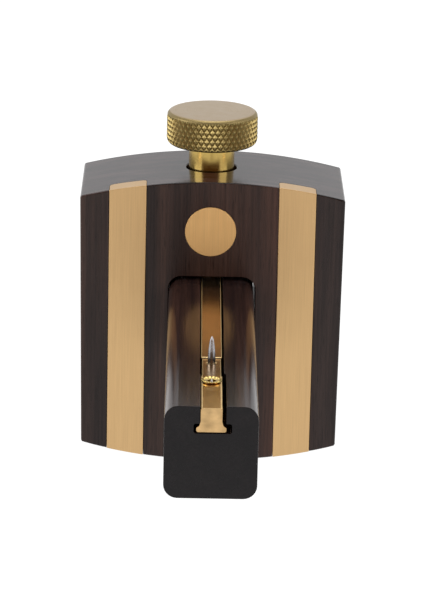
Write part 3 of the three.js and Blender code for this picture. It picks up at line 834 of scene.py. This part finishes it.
def slimmer(x, z):
    """A point of the bar's section moved to the tongue's, whose neck is 9 per cent slimmer and STEP lower."""
    up_the_neck = min(1, max(0, z - FOOT_TOP))
    return x * (1 - 0.09 * up_the_neck), z - (STEP if z > 9 else 0)


tongue = [slimmer(x, z) for x, z in bar]
sections = [(tongue, SLIDE_FRONT), (tongue, STEP_FRONT), (bar, STEP_REAR), (bar, SLIDE_REAR)]
points, faces = swept([[(x, y, z) for x, z in section] for section, y in sections])
caps = [tuple(range(len(bar))), tuple(range(len(points) - len(bar), len(points)))]
slide = solid("slide", points, faces + caps)
screw_seat = turned(
    "seat",
    [(0, 3, 0), (1.05, 3, 0), (1.05, 9.5, 0), (1.95, BRASS_TOP, 0), (1.95, ABOVE, 0), (0, ABOVE, 0)],
    (0, NUT_MIDDLE, 0),
    48,
)
pin_seat = turned(
    "pin_hole",
    [
        (0, 5.85, 0),
        (0.9, 5.85, 0),
        (0.9, 9.95, 0),
        (1.3, TONGUE_TOP + 0.05, 0),
        (1.3, ABOVE, 0),
        (0, ABOVE, 0),
    ],
    (0, PIN_Y, 0),
    48,
)
combine(slide, "DIFFERENCE", pin_seat, screw_seat)


def slide_edge(at):
    """Even, apart from the step, where only the top lip is eased."""
    if STEP_FRONT - 0.15 < at.y < STEP_REAR + 0.15:
        return 0.15 if at.z > BRASS_TOP - 0.05 and at.y > STEP_REAR - 0.05 else 0
    return 0.1


piece(
    ease(slide, slide_edge, 2),
    "slide_bar",
    "slide",
    "polished_brass",
    slide_brass,
    edge_highlight_brass,
    # The slide's eased edges get the paler brass of the painted highlight.
    pick=painted_highlight_edge,
)

slide_pin = turned(
    "slide_pin",
    [
        (0, 6.0, 0),
        (0.75, 6.0, 0.1),
        (0.75, TONGUE_TOP + 0.04, 0),
        (0.95, TONGUE_TOP + 0.04, 0.05),
        (0.78, 13.2, 6),
        (0.42, 15.8, 3),
        (0.1, 16.62, 0.08),
        (0, 16.7, 0),
    ],
    (0, PIN_Y, 0),
    64,
)
piece(slide_pin, "slide_pin", "slide", "steel", steel)

slide_nut = combine(
    prism("slide_nut", rectangle(-2.4, 2.4, -3.4, 4.7), *span("slide_nut", "Y")),
    "DIFFERENCE",
    rod("thread", 1.75, 70, 90, ADJUSTER, 48, "Y"),
    rod("screw", 1.05, 2.3, 6, (0, NUT_MIDDLE, 0), 32),
)
piece(ease(slide_nut, lambda at: 0.2, 2), "slide_nut", "slide", "polished_brass", slide_brass)


def slotted(obj, place, width, depth, top, axis):
    """Cuts a driver slot along X into the head of a screw along Z or Y. place is the head's middle in the
    plane of its face, and top the height of that face along the axis."""
    reach, half = 3.2, width / 2
    a, b = place
    outline = rectangle(a - reach, a + reach, b - half, b + half)
    combine(obj, "DIFFERENCE", prism("slot", outline, top - depth, top + 1, axis))


nut_screw = turned(
    "nut_screw",
    [
        (0, 2.6, 0),
        (0.9, 2.6, 0.1),
        (0.9, 9.55, 0),
        (1.8, 10.42, 0.06),
        (1.6, NUT_SCREW_TOP, 0.2),
        (0, NUT_SCREW_TOP, 0),
    ],
    (0, NUT_MIDDLE, 0),
    48,
)
slotted(nut_screw, (0, NUT_MIDDLE), 0.4, 0.45, NUT_SCREW_TOP, "Z")
piece(nut_screw, "slide_nut_screw", "slide", "steel", dark_steel)

# ---------------------------------------------------------------- rear end and adjuster

plate = combine(
    prism("plate", rounded_rectangle(HALF_WIDTH, -HALF_HEIGHT, HALF_HEIGHT, EDGE), PLATE_FRONT, PLATE_REAR),
    "DIFFERENCE",
    rod("screw_hole", 1.9, 110, 120, ADJUSTER, 48, "Y"),
    *(
        turned(
            "countersink",
            [(0, 110, 0), (1.3, 110, 0), (1.3, 115.6, 0), (2.5, 116.8, 0), (2.5, 118, 0), (0, 118, 0)],
            (x, 0, 0),
            48,
            "Y",
        )
        for x in (-PLATE_SCREW, PLATE_SCREW)
    ),
)


def plate_edge(at):
    """Wide round the plate and narrow round its holes."""
    return 0.3 if abs(at.x) > 9.6 or abs(at.z) > 4 else 0.08


piece(ease(plate, plate_edge), "end_plate", "stem", "satin_brass", plate_brass)

for x, node in ((-PLATE_SCREW, "end_plate_screw_left"), (PLATE_SCREW, "end_plate_screw_right")):
    screw = turned(
        "screw",
        [(0, 106.9, 0), (1.2, 108.9, 0.1), (1.2, 115.7, 0), (2.4, 116.86, 0.05), (0, PLATE_REAR, 0)],
        (x, 0, 0),
        48,
        "Y",
    )
    slotted(screw, (x, 0), 0.55, 0.6, PLATE_REAR, "Y")
    piece(screw, node, "stem", "turned_brass", screw_brass)

adjusting_screw = threaded("adjusting_screw", 1.6, 1.0, 0.42, (72.8, 110.5), (72.5, 123), ADJUSTER, "Y")
piece(adjusting_screw, "adjusting_screw", "adjuster", "steel", dark_steel)

THRUST_FRONT, THRUST_REAR = span("thrust_collar", "Y")
thrust_profile = [
    (1.65, THRUST_FRONT, 0),
    (2.4, THRUST_FRONT, 0.15),
    (2.4, THRUST_REAR, 0.15),
    (1.65, THRUST_REAR, 0),
]
thrust = turned("thrust", thrust_profile, ADJUSTER, 64, "Y", tube=True)
piece(thrust, "thrust_collar", "adjuster", "turned_brass", rear_brass)

REAR_KNOB_RADIUS = half_span("adjusting_knob", "X")
REAR_KNOB_FRONT, REAR_KNOB_END = span("adjusting_knob", "Y")
rear_knob = knurled(
    "rear_knob",
    [
        (0, 122.0, 0),
        (1.9, 122.0, 0),
        (1.9, REAR_KNOB_FRONT, 0.1),
        (4.0, REAR_KNOB_FRONT, 0.25),
        (4.0, 118.6, 0.3),
        (REAR_KNOB_RADIUS, 118.6, 0.7),
        (REAR_KNOB_RADIUS, 126.3, 0.7),
        (2.2, REAR_KNOB_END, 3),
        (0, REAR_KNOB_END, 0),
    ],
    (118.95, 126.0),
    count=30,
    lead=2.3,
    depth=0.32,
    crest=0.35,
    place=ADJUSTER,
    axis="Y",
)
piece(rear_knob, "adjusting_knob", "adjuster", "turned_brass", rear_brass, crease=24)

# ---------------------------------------------------------------- studio

FLOOR_REACH = 3000
floor_plan = rectangle(-FLOOR_REACH, FLOOR_REACH, -FLOOR_REACH, FLOOR_REACH)
floor = solid("floor", [(x, y, FLOOR) for x, y in floor_plan], [(0, 1, 2, 3)])
if floor.data.polygons[0].normal.z < 0:
    floor.data.flip_normals()
paper, paper_shader = shader("floor_paper", (0.08, 0.08, 0.08), 0.9, 0)
paper_shader.inputs["Emission Color"].default_value = (1, 1, 1, 1)
paper_shader.inputs["Emission Strength"].default_value = 1.0
floor.data.materials.append(paper)

world = bpy.data.worlds.new("studio")
world.use_nodes = True
bpy.context.scene.world = world
sky = world.node_tree
direction = sky.nodes.new("ShaderNodeTexCoord")
parts = sky.nodes.new("ShaderNodeSeparateXYZ")
depth = sky.nodes.new("ShaderNodeMapRange")
depth.inputs["From Min"].default_value = -1
sky.links.new(direction.outputs["Generated"], parts.inputs["Vector"])
sky.links.new(parts.outputs["Y"], depth.inputs["Value"])


def room(front, beside):
    """The room's light from the front (0) to the back (1)."""
    stops = [(0.05, front), (0.30, beside), (0.5, (0.62, 0.6, 0.58)), (0.85, (0.95, 0.95, 0.96))]
    return ramp(world, depth.outputs["Result"], stops)


# The room is darker and warmer low in front of the gauge, and neutral higher up.
height = sky.nodes.new("ShaderNodeMapRange")
height.interpolation_type = "SMOOTHSTEP"
height.inputs["From Min"].default_value = 0.32
height.inputs["From Max"].default_value = 0.55
above = sky.nodes.new("ShaderNodeMix")
above.data_type = "RGBA"
sky.links.new(parts.outputs["Z"], height.inputs["Value"])
sky.links.new(height.outputs["Result"], above.inputs["Factor"])
sky.links.new(room((0.38, 0.17, 0.06), (0.38, 0.24, 0.14)), above.inputs["A"])
sky.links.new(room((0.30, 0.29, 0.28), (0.34, 0.33, 0.32)), above.inputs["B"])
sky.links.new(above.outputs["Result"], sky.nodes["Background"].inputs["Color"])
sky.nodes["Background"].inputs["Strength"].default_value = 1


def softbox(name, place, target, width, height, power):
    """A rectangular lamp at place, turned to target, in metres and watts."""
    data = bpy.data.lights.new(name, "AREA")
    data.shape, data.size, data.size_y, data.energy = "RECTANGLE", width, height, power
    light = bpy.data.objects.new(name, data)
    light.location = place
    light.rotation_mode = "QUATERNION"
    light.rotation_quaternion = (Vector(target) - Vector(place)).to_track_quat("-Z", "Y")
    light.visible_camera = False
    bpy.context.scene.collection.objects.link(light)


softbox("left", (-0.52, -0.16, 0.28), (0, 0, 0.03), 0.46, 0.34, 2.5)
softbox("right", (0.5, -0.25, 0.28), (0, 0, 0.03), 0.46, 0.34, 1.95)
softbox("overhead", (0.0, 0.1, 1.2), (0, 0, 0.04), 0.8, 0.8, 5)

# ---------------------------------------------------------------- camera

# The camera's turns, its distance from AIM and its lens. The lengths are in millimetres.
PITCH, YAW, ROLL = math.radians(17.488), math.radians(0.452), math.radians(1.185)
DISTANCE, SENSOR, LENS = 829.5, 36, 198.35
AIM = np.array((0.3, 0, 5.9))
pitch = Matrix.Rotation(PITCH, 3, "X")
yaw = Matrix.Rotation(YAW, 3, "Z")
roll = Matrix.Rotation(ROLL, 3, "Y")
right, forward, up = roll @ pitch @ yaw
camera = bpy.data.objects.new("camera", bpy.data.cameras.new("camera"))
bpy.context.scene.collection.objects.link(camera)
place = (Vector(AIM + ORIGIN) - forward * DISTANCE) * MM
camera.matrix_world = Matrix.Translation(place) @ Matrix((right, up, -forward)).transposed().to_4x4()
camera.data.sensor_width, camera.data.lens = SENSOR, LENS
camera.data.clip_start, camera.data.clip_end = 0.05, 20
bpy.context.scene.camera = camera
bpy.context.scene.view_settings.view_transform = "Standard"
